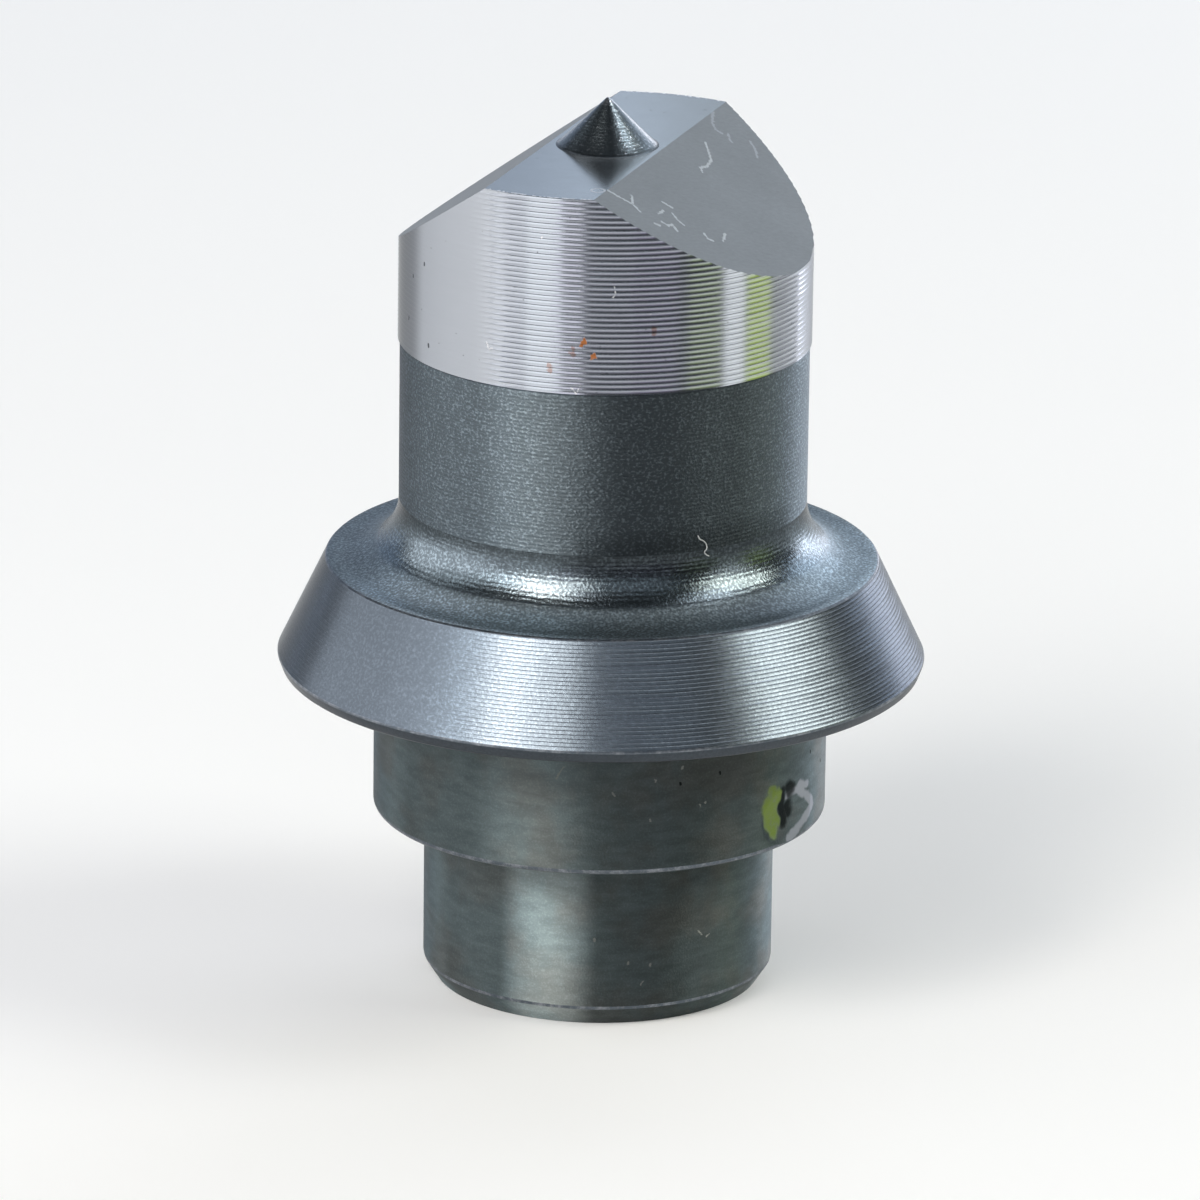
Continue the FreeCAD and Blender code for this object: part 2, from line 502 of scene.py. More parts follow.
class Finish(Nodes):
    """A material, with calls that the finishes share. Lengths are in millimetres."""

    def __init__(self, name):
        self.material = bpy.data.materials.new(name)
        self.material.use_nodes = True
        super().__init__(self.material.node_tree)
        self.shader = self.tree.nodes["Principled BSDF"]
        place = self.node("ShaderNodeTexCoord").outputs["Object"]
        self.place = self.vector("MULTIPLY", place, (1 / MM, 1 / MM, 1 / MM))
        self.flat = self.vector("MULTIPLY", self.place, (1, 1, 0))
        self.height = self.node("ShaderNodeSeparateXYZ", Vector=self.place).outputs["Z"]

    def tint(self, colour, *shares):
        """The colour made darker or lighter by the shares."""
        return self.vector("MULTIPLY", colour, self.times(*shares))

    def grain(self, scale, stretch=(1, 1, 1), detail=3.0, roughness=0.55, shift=0.0):
        """Noise from 0 to 1, with scale in features per millimetre."""
        place = self.vector("MULTIPLY", self.place, stretch)
        place = self.vector("ADD", place, (shift, shift, shift))
        made = self.node("ShaderNodeTexNoise", Vector=place, Scale=scale, Detail=detail, Roughness=roughness)
        return made.outputs["Fac"]

    def cells(self, scale, shift=0.0):
        """Distance to the nearest of scattered points."""
        place = self.vector("ADD", self.place, (shift, shift, shift))
        made = self.node("ShaderNodeTexVoronoi", Vector=place, Scale=scale)
        return made.outputs["Distance"]

    def lines(self, pitch, wobble):
        """Turning lines, one each pitch up the axis, as a wave from 0 to 1."""
        height = self.add(self.height, self.times(wobble, pitch))
        wave = self.math("SINE", self.times(height, math.tau / pitch), 0.0)
        return self.add(self.times(wave, 0.5), 0.5)

    def beside(self, azimuth, start, end, low=0.0, high=1.0):
        """A smooth step over the cosine of the angle from an azimuth in degrees."""
        turn = math.radians(azimuth)
        outward = (math.cos(turn), math.sin(turn), 0)
        cosine = self.measure("DOT_PRODUCT", self.vector("NORMALIZE", self.flat), outward)
        return self.ease(cosine, start, end, low, high)

    def reach(self, start, end):
        """Distance from the straight stroke between two points."""
        along = Vector(end) - Vector(start)
        offset = self.vector("SUBTRACT", self.place, tuple(start))
        share = self.measure("DOT_PRODUCT", offset, tuple(along / along.length_squared))
        share = self.node("ShaderNodeClamp", Value=share).outputs["Result"]
        nearest = self.node("ShaderNodeVectorMath", {"operation": "SCALE"}, Vector=tuple(along), Scale=share)
        return self.measure("DISTANCE", offset, nearest.outputs["Vector"])

    def strokes(self, runs, width, ragged=0.8):
        """1 on strokes that follow runs of points, falling to 0 at their uneven edges."""
        gaps = [self.reach(start, end) for run in runs for start, end in zip(run[:-1], run[1:])]
        nearest = self.math("MINIMUM", *gaps)
        uneven = self.times(self.add(self.grain(1.1 / width, detail=2.0, shift=2.0), -0.5), ragged * width)
        return self.ease(self.add(nearest, uneven), width * 0.55, width * 0.25)

    def specks(self, points, width, ragged=1.2):
        """1 on small spots at points."""
        lift = Vector((0, 0, 0.3 * width))
        return self.strokes([(Vector(at) - lift, Vector(at) + lift) for at in points], width, ragged)

    def painted_reflection_tone(self, light, dark, edge_sheen=3.0):
        """How light the oxide is round the axis, as painted reflection: a painted dark reflection on one side
        and a painted edge sheen beside it.
        """
        tone = self.beside(PAINTED_DARK_REFLECTION_SIDE, 0.6, 0.97, light, dark)
        return self.times(tone, self.beside(PAINTED_EDGE_SHEEN_SIDE, 0.7, 1.0, 1.0, edge_sheen))

    def painted_foot_shade(self):
        """Painted shade: the oxide darker round the foot of the shank on one side, above the paint."""
        share = self.times(
            self.ease(self.height, SHANK_FOOT + 2.0, SHANK_FOOT),
            self.ease(self.height, SHANK_FOOT - 1.3, SHANK_FOOT - 0.6),
            self.beside(PAINTED_FOOT_SHADE_SIDE, 0.77, 0.86),
        )
        return self.ease(share, 0.0, 1.0, 1.0, 0.7)

    def bump(self, *layers):
        """Layers of relief, each a height from 0 to 1 and its depth."""
        normal = None
        for height, depth in layers:
            made = self.node("ShaderNodeBump", Height=height, Distance=depth * MM)
            if normal is not None:
                self.link(made.inputs["Normal"], normal)
            normal = made.outputs["Normal"]
        return normal

    def set(self, **inputs):
        """Sets inputs of the shader; _ stands for a space in a name."""
        for name, value in inputs.items():
            self.link(self.shader.inputs[name.replace("_", " ")], value)
        return self.material

    def metal(self, colour, roughness, normal, **inputs):
        return self.set(Base_Color=colour, Metallic=1.0, Roughness=roughness, Normal=normal, **inputs)

    def skin(self, colour, roughness, normal):
        """Metal that loses sheen at a grazing view."""
        return self.metal(colour, roughness, normal, Specular_Tint=GRAZING_TINT)


def rgba(colour, level=1.0):
    return (*(part * level for part in colour), 1.0)


def on_wall(radius, marks):
    """Points in millimetres on a turned wall, from pairs of degrees round the axis and height."""
    turns = [(math.radians(azimuth), height) for azimuth, height in marks]
    return [(radius / MM * math.cos(turn), radius / MM * math.sin(turn), height) for turn, height in turns]


def wall_runs(radius, runs):
    return [on_wall(radius, run) for run in runs]


def slope_runs(runs):
    """Runs in millimetres on the slope towards +X, from pairs of distance below the strip and along it."""
    edge, top = STRIP_HALF / MM, HEAD_TOP / MM
    out, fall = math.cos(ROOF_ANGLE), math.sin(ROOF_ANGLE)
    return [[(edge + down * out, along, top - down * fall) for down, along in run] for run in runs]


def turned_sheen(finish, strength):
    """Spreads the gloss up and down, as fine lines round the axis do."""
    tangent = finish.node("ShaderNodeTangent", {"direction_type": "RADIAL", "axis": "Z"})
    finish.set(Anisotropic=strength, Anisotropic_Rotation=0.25, Tangent=tangent.outputs["Tangent"])


# Brownish patches in the satin oxide
WARM_OXIDE = (0.085, 0.08, 0.072, 1.0)

# How much of its sheen the steel keeps where it turns away from the eye
GRAZING_TINT = (0.55, 0.55, 0.55, 1.0)

# Height of the shank's straight foot and pitch of its fine turning lines, in millimetres
SHANK_FOOT = (FLANGE_TOP + SHANK_FILLET) / MM
FINE_PITCH = 0.194

# Middles of the sides with painted light, painted streaks, painted reflection, painted edge sheen and painted
# shade in each finish, in degrees round the axis
PAINTED_LIGHT_SIDE = -100.0
PAINTED_STREAK_SIDE = -87.5
PAINTED_DARK_REFLECTION_SIDE = -48.0
PAINTED_EDGE_SHEEN_SIDE = 12.0
PAINTED_PALE_EDGE_SIDE = -155.0
PAINTED_CONE_SHADE_SIDE = -137.0
PAINTED_FOOT_SHADE_SIDE = -42.0
SHADED_HEAD_SIDE = -152.0
PAINTED_PIP_STREAK_SIDE = -38.0

# Marks on the cutting head, as degrees round the axis and height in millimetres
RUST_SPECKS = ((-77.0, 34.9), (-76.2, 34.98), (-73.5, 34.3), (-74.1, 34.24))
FAINT_RUST = ((-85.8, 33.6), (-79.4, 34.5), (-57.5, 35.5))
HEAD_PITS = ((-130.5, 37.3), (-140.7, 34.15), (-140.2, 31.95), (-137.5, 36.4), (-128.0, 33.4))
HEAD_SCRATCHES = (
    ((-77.8, 37.5), (-76.7, 37.65)),
    ((-68.6, 37.2), (-67.8, 37.4), (-68.3, 37.7)),
    ((-58.9, 36.3), (-57.8, 36.35)),
    ((-104.8, 34.4), (-104.0, 34.1), (-102.9, 34.2)),
    ((-79.6, 32.66), (-78.3, 32.43), (-77.2, 32.8)),
    ((-88.5, 39.9), (-88.3, 40.0)),
)

# Scratches on the slope, as distances below the strip and along it in millimetres
SLOPE_SCRATCHES = (
    ((1.02, 4.1), (1.47, 3.5), (1.88, 2.95), (2.0, 1.95), (1.86, 1.4), (2.1, 1.1)),
    ((0.06, -7.7), (0.78, -7.35), (1.27, -7.1), (1.81, -7.2)),
    ((0.92, -6.4), (1.23, -7.0)),
    ((2.07, -4.65), (2.4, -4.55), (2.6, -4.45)),
    ((2.42, -6.0), (2.45, -5.4)),
    ((2.83, -4.95), (3.28, -5.15), (3.6, -5.15)),
    ((2.82, -6.5), (3.18, -6.35), (3.26, -5.95), (3.68, -6.2)),
    ((2.72, -7.15), (2.94, -6.95)),
    ((4.56, -4.4), (4.87, -4.55), (5.07, -4.4)),
    ((5.2, -2.8), (5.4, -3.65)),
)
FAINT_SLOPE_SCRATCHES = (
    ((0.02, 7.65), (0.39, 6.6), (0.8, 6.1), (1.17, 6.25)),
    ((1.39, 6.65), (1.76, 6.2)),
    ((2.33, 7.7), (2.8, 7.35), (3.18, 6.75)),
)

# The ring struck in the flat strip: its middle and its radius, in millimetres
STRIP_RING = (2.35, -7.95)
STRIP_RING_RADIUS = 0.32

# Specks, pits and threads of dirt lower down, as degrees round the axis and height in millimetres
COLLAR_SPECKS = ((-44.6, 11.9), (-43.2, 12.05), (-57.8, 11.4), (-49.6, 13.95), (-56.6, 13.4))
COLLAR_PITS = ((-50.1, 13.15), (-39.0, 13.4), (-3.2, 12.8), (5.6, 11.8))
COLLAR_THREADS = (((-81.4, 13.5), (-80.6, 13.8), (-79.6, 14.1)), ((-67.4, 12.9), (-66.8, 12.7)))
SPIGOT_SPECKS = ((-53.1, 3.13), (-71.6, 4.5), (-60.5, 3.3))
SPIGOT_THREADS = (((-35.8, 4.5), (-34.3, 4.25)), ((-32.6, 4.1), (-31.4, 4.2)), ((-56.3, 2.15), (-55.4, 2.3)))

# Painted reflections on the collar's milled spot: a green dab laid as paint, a dab of painted shade and a
# light arc of painted reflection round it
PAINTED_GREEN_DAB = (
    ((-21.4, 11.6), (-22.4, 11.0), (-22.0, 10.4), (-20.2, 9.7)),
    ((-19.8, 11.2), (-20.6, 10.7), (-19.4, 10.0)),
)
PAINTED_SHADE_DAB = (
    ((-16.8, 11.4), (-16.6, 10.7), (-15.2, 10.0)),
    ((-14.6, 11.6), (-12.8, 11.3)),
    ((-14.0, 10.6), (-12.8, 10.2)),
)
PAINTED_REFLECTION_ARC = (
    ((-14.4, 11.1), (-12.0, 11.25), (-8.9, 11.15), (-4.5, 10.7), (-1.5, 10.05), (-5.1, 9.6), (-10.1, 9.2)),
    ((-10.1, 9.2), (-13.5, 8.95)),
    ((-9.0, 11.45), (-5.4, 11.25)),
)


def head_finish(look):
    """Bright turned steel with fine streaks, pits and a few rust specks."""
    finish = Finish("bright_turned_steel")
    streaks = finish.grain(1.0, (0.35, 0.35, 22.0), detail=4.0)
    clouds = finish.grain(0.22, shift=7.0)
    tone = finish.weigh((streaks, 0.3), (clouds, 0.2))
    colour = finish.shades(tone, look.bright, 0.88, 1.2)
    # painted shade on the shaded side and a painted edge sheen towards one edge
    shaded = finish.beside(SHADED_HEAD_SIDE, 0.93, 0.975, 1.0, 0.6)
    colour = finish.tint(colour, shaded, finish.beside(PAINTED_EDGE_SHEEN_SIDE, 0.9, 1.0, 1.0, 1.5))
    dots = finish.ease(finish.cells(1.4), 0.07, 0.03)
    colour = finish.blend(dots, colour, rgba(look.bright, 0.45))
    scratches = finish.strokes(wall_runs(HEAD_RADIUS, HEAD_SCRATCHES), 0.08, 1.6)
    colour = finish.blend(scratches, colour, (0.7, 0.7, 0.72, 1.0))
    pits = finish.specks(on_wall(HEAD_RADIUS, HEAD_PITS), 0.16)
    colour = finish.blend(pits, colour, rgba(look.bright, 0.25))
    faint = finish.times(finish.specks(on_wall(HEAD_RADIUS, FAINT_RUST), 0.3, 1.8), 0.45)
    colour = finish.blend(faint, colour, rgba(look.rust))
    rust = finish.specks(on_wall(HEAD_RADIUS, RUST_SPECKS), 0.22, 1.6)
    colour = finish.blend(rust, colour, rgba(look.rust))
    return finish.set(
        Base_Color=colour,
        Metallic=finish.ease(rust, 0.3, 0.8, 1.0, 0.0),
        Roughness=finish.ease(finish.add(pits, scratches, rust), 0.0, 1.0, 0.15, 0.6),
        Specular_Tint=GRAZING_TINT,
        Normal=finish.bump((streaks, 0.0012)),
    )


def slope_finish(look):
    """Ground steel with faint marks along the slope and the scratches of handling."""
    finish = Finish("ground_slopes")
    about_z = {"rotation_type": "Z_AXIS"}
    turned = finish.node("ShaderNodeVectorRotate", about_z, Vector=finish.place, Angle=0.55)
    fine = finish.vector("MULTIPLY", turned.outputs["Vector"], (7.0, 0.6, 7.0))
    noisy = finish.node("ShaderNodeTexNoise", Vector=fine, Scale=1.2, Detail=5.0, Roughness=0.6)
    marks = noisy.outputs["Fac"]
    clouds = finish.grain(0.3, shift=3.0)
    pores = finish.grain(9.0, detail=2.0)
    tone = finish.weigh((clouds, 0.3), (pores, 0.15), (marks, 0.5))
    colour = finish.shades(tone, look.ground, 0.36, 0.86)
    faint = finish.times(finish.strokes(slope_runs(FAINT_SLOPE_SCRATCHES), 0.2, 1.6), 0.4)
    scratches = finish.math("MAXIMUM", faint, finish.strokes(slope_runs(SLOPE_SCRATCHES), 0.17, 1.6))
    colour = finish.blend(finish.times(scratches, 0.85), colour, (0.47, 0.5, 0.52, 1.0))
    height = finish.weigh((marks, 0.5), (scratches, 1.5))
    return finish.metal(colour, finish.ease(scratches, 0.0, 1.0, 0.42, 0.6), finish.bump((height, 0.004)))


def strip_finish(look):
    """The flat strip, nearly polished, with nicks along its ends lightened as painted glints, and a small
    ring struck in it.
    """
    finish = Finish("polished_strip")
    clouds = finish.grain(0.8, shift=11.0)
    fine = finish.grain(1.0, (0.5, 8.0, 1.0), detail=4.0)
    tone = finish.weigh((clouds, 0.6), (fine, 0.4))
    colour = finish.shades(tone, look.ground, 1.35, 1.75)
    radius = HEAD_RADIUS / MM
    nicks = finish.ease(finish.grain(4.2, detail=1.0), 0.5, 0.62)
    out = finish.measure("LENGTH", finish.flat)
    # nicks along the ends, lightened as painted glints
    nicks_with_glints = finish.times(finish.ease(out, radius - 0.22, radius - 0.05), nicks)
    off_ring = finish.add(finish.measure("DISTANCE", finish.flat, (*STRIP_RING, 0)), -STRIP_RING_RADIUS)
    ring = finish.times(finish.ease(finish.math("ABSOLUTE", off_ring, 0.0), 0.08, 0.03), 0.7)
    pits = finish.ease(finish.cells(1.1, 4.0), 0.09, 0.04)
    colour = finish.blend(pits, colour, rgba(look.ground, 0.5))
    light = finish.math("MAXIMUM", nicks_with_glints, ring)
    colour = finish.blend(light, colour, (0.85, 0.88, 0.92, 1.0))
    return finish.metal(colour, finish.ease(light, 0.0, 1.0, 0.16, 0.55), finish.bump((fine, 0.0006)))


def pip_finish(look):
    """Dark glossy steel with turned rings and flecks, with a painted highlight at its tip, a painted
    highlight streak down one side and painted shade at its root.
    """
    finish = Finish("pip_skin")
    flecks = finish.grain(7.0, detail=4.0)
    rings = finish.lines(0.13, finish.grain(1.0))
    top = HEAD_TOP / MM
    # painted shade at the root
    root = finish.ease(finish.height, top + 0.16, top + 0.04)
    # painted highlight at the tip
    tip = finish.ease(finish.height, top + 1.95, top + 2.25)
    # the painted tip highlight, with light flecks
    worn = finish.add(finish.times(tip, 0.5), finish.ease(flecks, 0.56, 0.72, 0.0, 0.7))
    colour = finish.blend(worn, rgba(look.oxide, 1.5), rgba(look.bright, 0.95))
    # painted highlight streak down one side
    rubbed = finish.beside(PAINTED_PIP_STREAK_SIDE, 0.88, 1.0, 1.0, 2.6)
    colour = finish.tint(colour, rubbed, finish.ease(root, 0.0, 1.0, 1.0, 0.6))
    return finish.metal(colour, 0.26, finish.bump((rings, 0.0016), (flecks, 0.014)))


def shank_finish(look):
    """Dark oxide over fine turning lines, speckled with painted glints, with painted light, a painted
    highlight streak, painted reflection and painted shade round the axis.
    """
    finish = Finish("dark_oxide")
    sparkle = finish.grain(7.0, (1, 1, 1.3), detail=2.0)
    clouds = finish.grain(0.35, shift=5.0)
    lines = finish.lines(FINE_PITCH, finish.grain(0.5, (1, 1, 0.2)))
    # painted light: the oxide is lighter towards one side round the axis
    painted_light = finish.beside(PAINTED_LIGHT_SIDE, -0.1, 0.9)
    tone = finish.weigh((clouds, 0.25), (painted_light, 0.55))
    colour = finish.shades(tone, look.oxide, 0.7, 1.5)
    glints = finish.ease(sparkle, 0.48, 0.7, 0.85, 1.7)
    # painted highlight streak down the front
    painted_streak = finish.beside(PAINTED_STREAK_SIDE, 0.93, 1.0, 1.0, 1.4)
    colour = finish.tint(colour, glints, painted_streak, finish.painted_reflection_tone(1.4, 0.62), finish.painted_foot_shade())
    turned_sheen(finish, 0.9)
    return finish.skin(colour, 0.45, finish.bump((lines, 0.015), (sparkle, 0.05)))


def fillet_finish(look):
    """Thinner oxide in the round below the shank, glossy and finely pitted, with painted glints, painted
    light in the trough at its front, painted foot shade and painted reflection round the axis.
    """
    finish = Finish("fillet_oxide")
    sparkle = finish.grain(8.0, detail=2.5)
    lines = finish.lines(FINE_PITCH, finish.grain(0.5, (1, 1, 0.2)))
    clouds = finish.grain(0.35, shift=5.0)
    colour = finish.shades(clouds, look.oxide, 1.7, 2.6)
    darker_top = finish.ease(finish.height, SHANK_FOOT - 1.5, SHANK_FOOT, 1.0, 0.37)
    glints = finish.ease(sparkle, 0.42, 0.7, 0.75, 1.7)
    root = finish.ease(finish.height, FLANGE_TOP / MM + 1.0, FLANGE_TOP / MM + 0.4)
    # painted light: the trough is lighter at the front, towards the flange
    painted_trough_mask = finish.times(root, finish.beside(PAINTED_STREAK_SIDE, 0.5, 0.9, 0.3, 1.0))
    painted_trough_light = finish.ease(painted_trough_mask, 0.0, 1.0, 1.0, 2.2)
    tone = finish.painted_reflection_tone(1.15, 0.85, 1.5)
    colour = finish.tint(colour, darker_top, glints, tone, finish.painted_foot_shade(), painted_trough_light)
    normal = finish.bump((lines, 0.004), (sparkle, 0.014))
    return finish.skin(colour, finish.ease(root, 0.0, 1.0, 0.21, 0.42), normal)


def cone_finish(look):
    """Worn oxide over turned marks, speckled where it is smooth, with painted glints and painted shade on one
    side.
    """
    finish = Finish("worn_cone")
    sparkle = finish.grain(7.5, detail=3.0, roughness=0.65)
    clouds = finish.grain(0.25, shift=9.0)
    tone = finish.weigh((sparkle, 0.15), (clouds, 0.55))
    colour = finish.shades(tone, look.worn, 0.78, 1.25)
    glints = finish.ease(sparkle, 0.45, 0.68, 0.93, 1.25)
    # painted glints and painted shade on one side
    colour = finish.tint(colour, glints, finish.beside(PAINTED_CONE_SHADE_SIDE, 0.8, 0.97, 1.0, 0.7))
    return finish.skin(colour, 0.25, finish.bump((sparkle, 0.005)))


def edge_finish(look):
    """The flange's lip and underside."""
    finish = Finish("flange_edge")
    sparkle = finish.grain(8.0, detail=3.0)
    colour = finish.shades(sparkle, look.worn, 0.22, 0.48)
    return finish.metal(colour, 0.4, finish.bump((sparkle, 0.008)))


def worn_edge_highlight_finish(look):
    """Corners where handling has worn the oxide through in short runs, lighter in colour as a painted edge
    highlight.
    """
    finish = Finish("rubbed_edge")
    runs = finish.ease(finish.grain(1.6, detail=5.0, roughness=0.8), 0.4, 0.75)
    # worn runs lightened as a painted edge highlight
    colour = finish.blend(runs, rgba(look.worn, 0.6), rgba(look.bright, 0.6))
    return finish.metal(colour, 0.38, finish.bump((runs, 0.006)))


def satin_finish(look, name, edge, rubbed, radius, specks, pits, threads):
    """Satin oxide with hardly any marks, with painted glints, painted light, painted reflection and a painted
    edge sheen round the axis; rubbed is how much lighter the painted highlight streak down its front is, and
    edge scales the painted edge sheen.
    """
    finish = Finish(name)
    streaks = finish.grain(0.8, (0.4, 0.4, 9.0), detail=4.0)
    sparkle = finish.grain(10.0, detail=2.0)
    # painted light: the oxide is lighter towards one side round the axis
    painted_light = finish.beside(PAINTED_LIGHT_SIDE, 0.3, 1.0)
    # painted highlight streak down the front
    painted_streak = finish.beside(PAINTED_STREAK_SIDE, 0.955, 0.998)
    tone = finish.weigh((streaks, 0.25), (painted_light, 0.5))
    colour = finish.shades(tone, look.satin, 0.68, 1.55)
    patches = finish.ease(finish.grain(0.3, shift=21.0), 0.4, 0.65, 0.0, 0.45)
    colour = finish.blend(patches, colour, WARM_OXIDE)
    smudges = finish.grain(0.8, (1.0, 1.0, 3.0), detail=3.0, shift=13.0)
    colour = finish.tint(
        colour,
        finish.ease(sparkle, 0.45, 0.72, 0.96, 1.16),
        finish.ease(smudges, 0.3, 0.7, 0.9, 1.12),
        finish.add(finish.times(painted_streak, rubbed), 1.0),
        finish.painted_reflection_tone(edge, 0.95),
        # painted reflection: lighter towards the pale edge
        finish.beside(PAINTED_PALE_EDGE_SIDE, 0.87, 1.0, 1.0, 2.2),
    )
    light = finish.specks(on_wall(radius, specks), 0.13, 1.6)
    light = finish.math("MAXIMUM", light, finish.strokes(wall_runs(radius, threads), 0.09, 2.0))
    colour = finish.blend(light, colour, (0.2, 0.21, 0.2, 1.0))
    if pits:
        colour = finish.blend(finish.specks(on_wall(radius, pits), 0.14), colour, rgba(look.satin, 0.15))
    turned_sheen(finish, 0.95)
    finish.colour = colour
    finish.skin(colour, 0.5, finish.bump((sparkle, 0.012)))
    return finish


def spigot_finish(look):
    marks = (SPIGOT_SPECKS, (), SPIGOT_THREADS)
    return satin_finish(look, "spigot_skin", 1.15, 1.6, SPIGOT_RADIUS, *marks).material


def collar_finish(look, name="collar_skin"):
    """The collar's satin oxide with painted reflections at its milled spot: a green dab laid as paint, a dab
    of painted shade and a light arc of painted reflection.
    """
    marks = (COLLAR_SPECKS, COLLAR_PITS, COLLAR_THREADS)
    finish = satin_finish(look, name, 1.05, 0.5, COLLAR_RADIUS, *marks)
    # painted reflections: a light arc, a dab of painted shade and a green dab laid as non-metal paint
    arc_reflection = finish.strokes(wall_runs(COLLAR_RADIUS, PAINTED_REFLECTION_ARC), 0.6, 0.6)
    dark = finish.strokes(wall_runs(COLLAR_RADIUS, PAINTED_SHADE_DAB), 0.9, 0.7)
    paint = finish.strokes(wall_runs(COLLAR_RADIUS, PAINTED_GREEN_DAB), 1.05, 0.9)
    thin_green_reflection = finish.times(paint, finish.ease(finish.grain(2.2), 0.3, 0.55, 0.6, 0.97))
    colour = finish.blend(finish.times(arc_reflection, 0.9), finish.colour, rgba(look.bright, 0.95))
    colour = finish.blend(finish.times(dark, 0.92), colour, rgba(look.satin, 0.2))
    colour = finish.blend(thin_green_reflection, colour, rgba(look.paint))
    return finish.set(
        Base_Color=colour,
        Metallic=finish.ease(thin_green_reflection, 0.1, 0.7, 1.0, 0.0),
        Roughness=finish.ease(arc_reflection, 0.0, 1.0, 0.5, 0.42),
    )


def bare_spot_finish(look):
    return collar_finish(look, "bare_spot")


def foot_finish(look):
    finish = Finish("foot_face")
    mottle = finish.grain(5.0, detail=2.0)
    colour = finish.shades(mottle, look.satin, 0.8, 1.2)
    return finish.set(Base_Color=colour, Metallic=1.0, Roughness=0.4)


# The finish of each zone of the surface, in the order of the material slots
FINISHES = {
    "foot": foot_finish,
    "spigot_skin": spigot_finish,
    "collar_skin": collar_finish,
    "bare_spot": bare_spot_finish,
    "flange_edge": edge_finish,
    "rubbed_edge": worn_edge_highlight_finish,
    "cone_marks": cone_finish,
    "fillet_skin": fillet_finish,
    "shank_skin": shank_finish,
    "head_marks": head_finish,
    "ground_slopes": slope_finish,
    "polished_strip": strip_finish,
    "pip_skin": pip_finish,
}
ZONES = tuple(FINISHES)


def add_piece(context, name, bm, materials):
    """Makes an object of the built surface."""
    mesh = bpy.data.meshes.new(name)
    bm.to_mesh(mesh)
    bm.free()
    for material in materials:
        mesh.materials.append(material)
    piece = bpy.data.objects.new(name, mesh)
    context.scene.collection.objects.link(piece)
    return piece


class PUNCH_OT_body(bpy.types.Operator):
    """Build the turned, ground and oxidised surface of the punch"""

    bl_idname = "punch.body"
    bl_label = "Punch Body"

    def execute(self, context):
        shape = context.scene.punch_shape
        bm = bmesh.new()
        revolve(bm, turned_outline(shape), shape.around)
        mill_spot(bm)
        for side in (-1, 1):
            grind_slope(bm, side)
        raise_pip(bm, shape.around // 2)
        bm.normal_update()
        materials = [made(context.scene.punch_finish) for made in FINISHES.values()]
        piece = add_piece(context, "punch_surface", bm, materials)
        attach(piece, "root")
        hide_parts(CAD_NODE)
        return {"FINISHED"}


# The thread of lint on the shank: degrees round the axis, height and distance off the axis in millimetres
LINT_PATH = (
    (-43.6, 25.15, 9.99),
    (-43.0, 24.95, 10.01),
    (-41.9, 24.85, 9.94),
    (-40.8, 24.65, 9.93),
    (-40.7, 24.42, 9.97),
    (-41.3, 24.26, 9.94),
    (-40.8, 24.12, 9.95),
    (-39.9, 24.03, 9.97),
)
LINT_RADIUS = 0.028 * MM
LINT_END_TAPER = 0.45
LINT_SIDES = 6
LINT_STEPS = 6


def lint_finish():
    finish = Finish("lint_fibre")
    fuzz = finish.grain(14.0, detail=2.0)
    colour = finish.blend(fuzz, (0.42, 0.44, 0.45, 1.0), (0.6, 0.62, 0.62, 1.0))
    return finish.set(Base_Color=colour, Roughness=0.8, Normal=finish.bump((fuzz, 0.01)))


class PUNCH_OT_lint(bpy.types.Operator):
    """Lay the thread of lint on the shank"""

    bl_idname = "punch.lint"
    bl_label = "Lint"

    def execute(self, context):
        points = []
        for azimuth, height, radius in LINT_PATH:
            turn = math.radians(azimuth)
            points.append(Vector((radius * math.cos(turn), radius * math.sin(turn), height)) * MM)
        path = self.smoothed(points)
        bm = bmesh.new()
        rings = []
        previous = None
        for before, at, after in zip([path[0], *path], path, [*path[1:], path[-1]]):
            ahead = (after - before).normalized()
            first = ahead.orthogonal().normalized()
            second = ahead.cross(first)
            if previous is not None and first.dot(previous) < 0:
                first, second = -first, -second
            previous = first
            taper = LINT_END_TAPER if at in (path[0], path[-1]) else 1.0
            ring = []
            for corner in range(LINT_SIDES):
                turn = math.tau * corner / LINT_SIDES
                offset = (first * math.cos(turn) + second * math.sin(turn)) * LINT_RADIUS * taper
                ring.append(bm.verts.new(at + offset))
            rings.append(ring)
        for low, high in zip(rings[:-1], rings[1:]):
            add_band(bm, low, high, 0)
        bm.faces.new(rings[0][::-1])
        bm.faces.new(rings[-1])
        bmesh.ops.recalc_face_normals(bm, faces=bm.faces[:])
        piece = add_piece(context, "lint", bm, [lint_finish()])
        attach(piece, "root")
        return {"FINISHED"}

    @staticmethod
    def smoothed(points):
        """Points on a curve through the given ones."""
        path = []
        ends = [points[0], *points, points[-1]]
        for before, start, end, after in zip(ends, ends[1:], ends[2:], ends[3:]):
            leave = (end - before) * 0.5
            arrive = (after - start) * 0.5
            for step in range(LINT_STEPS):
                t = step / LINT_STEPS
                path.append(
                    start * (2 * t**3 - 3 * t**2 + 1)
                    + leave * (t**3 - 2 * t**2 + t)
                    + end * (3 * t**2 - 2 * t**3)
                    + arrive * (t**3 - t**2)
                )
        path.append(points[-1])
        return path


